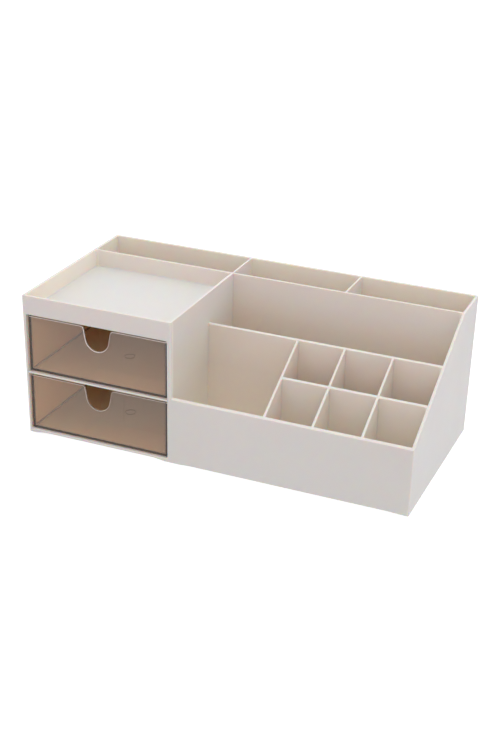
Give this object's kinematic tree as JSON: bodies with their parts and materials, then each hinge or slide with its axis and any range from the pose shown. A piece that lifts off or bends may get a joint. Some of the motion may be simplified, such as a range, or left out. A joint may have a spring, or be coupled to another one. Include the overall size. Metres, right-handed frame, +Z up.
{
  "type": "desk organizer",
  "caption": "Low desk organizer with a top tray over pull-out drawers on the left, open pockets stepping down to a low front wall on the right, and a row of tall slots behind.",
  "frame": {"origin": "middle of the footprint, on the surface that the feet stand on", "axes": "+X to the right along the width, with the drawers on the left; +Y to the back; +Z up"},
  "size_m": [0.35, 0.171, 0.131],
  "materials": {
    "body_plastic": "warm off-white, fine satin moulded surface",
    "drawer_plastic": "see-through smoky brown, polished",
    "foot_rubber": "dull"
  },
  "bodies": {
    "cabinet": {"body": "body_plastic", "drawer_shelf": "body_plastic", "foot_front_left": "foot_rubber", "foot_front_middle": "foot_rubber", "foot_front_right": "foot_rubber", "foot_back_left": "foot_rubber", "foot_back_middle": "foot_rubber", "foot_back_right": "foot_rubber"},
    "upper_drawer": {"upper_drawer": "drawer_plastic"},
    "lower_drawer": {"lower_drawer": "drawer_plastic"}
  },
  "joints": [
    {"name": "upper_drawer_slide", "type": "slide", "parent": "cabinet", "child": "upper_drawer", "axis": [0, -1, 0], "range_m": [0, 0.105]},
    {"name": "lower_drawer_slide", "type": "slide", "parent": "cabinet", "child": "lower_drawer", "axis": [0, -1, 0], "range_m": [0, 0.105]}
  ]
}
